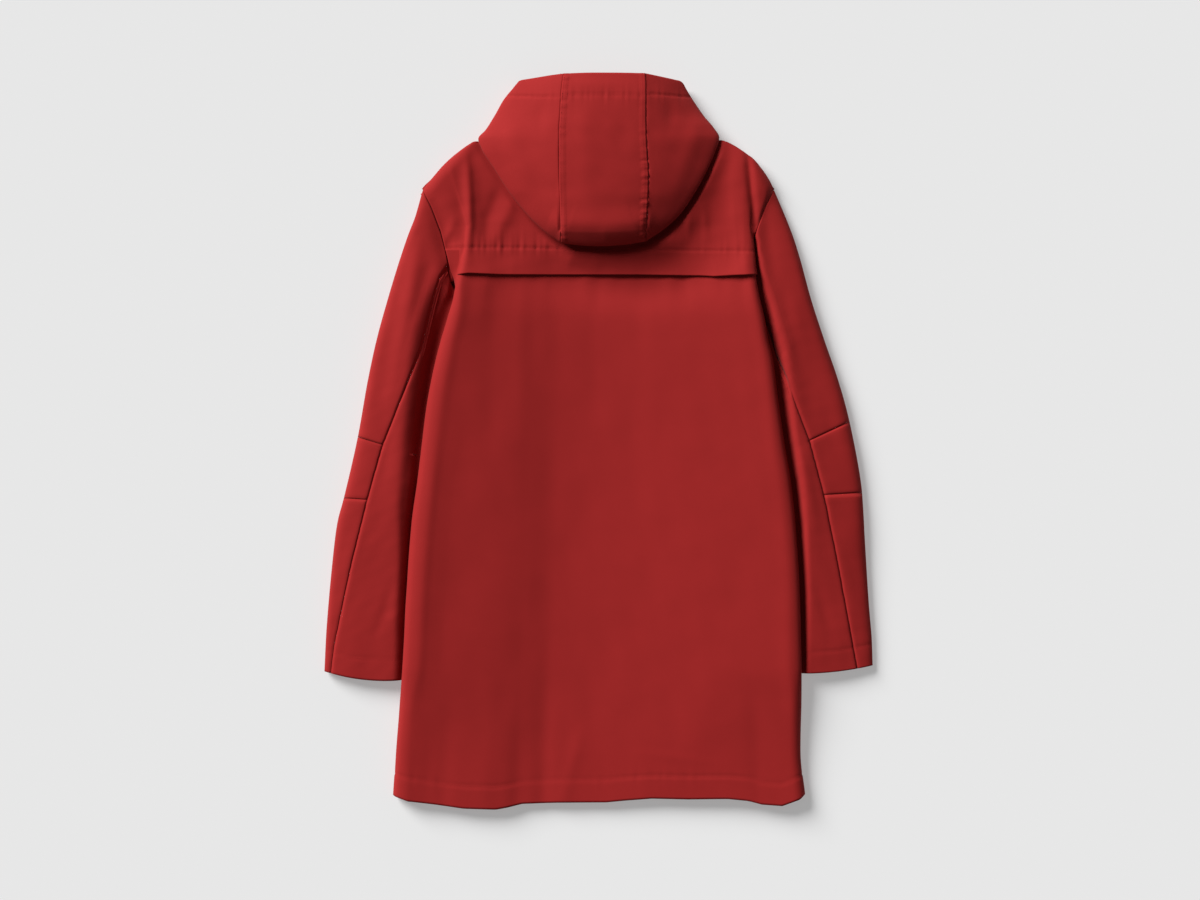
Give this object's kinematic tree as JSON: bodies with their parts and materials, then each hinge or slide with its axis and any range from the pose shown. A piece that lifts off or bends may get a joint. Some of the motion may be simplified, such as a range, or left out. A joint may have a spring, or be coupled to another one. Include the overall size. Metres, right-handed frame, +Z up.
{
  "type": "parka",
  "caption": "Brick-red hooded parka in plain woven cloth, laid flat on its front with its back up and the hood laid down.",
  "frame": {"origin": "middle of the bounding box seen from above, at the height of the surface the parka lies on", "axes": "+Y from the hem to the hood, +Z up from the surface, +X to the right as the back is seen"},
  "size_m": [0.701, 0.9387, 0.0561],
  "materials": {
    "shell_cloth": "matt tightly woven cotton blend"
  },
  "bodies": {
    "root": {"back_lower": "shell_cloth", "back_yoke": "shell_cloth", "elbow_panel_left": "shell_cloth", "elbow_panel_right": "shell_cloth", "front_left": "shell_cloth", "front_right": "shell_cloth", "hood_centre": "shell_cloth", "hood_side_left": "shell_cloth", "hood_side_right": "shell_cloth", "top_sleeve_lower_left": "shell_cloth", "top_sleeve_lower_right": "shell_cloth", "top_sleeve_upper_left": "shell_cloth", "top_sleeve_upper_right": "shell_cloth", "under_sleeve_left": "shell_cloth", "under_sleeve_right": "shell_cloth"}
  },
  "joints": []
}
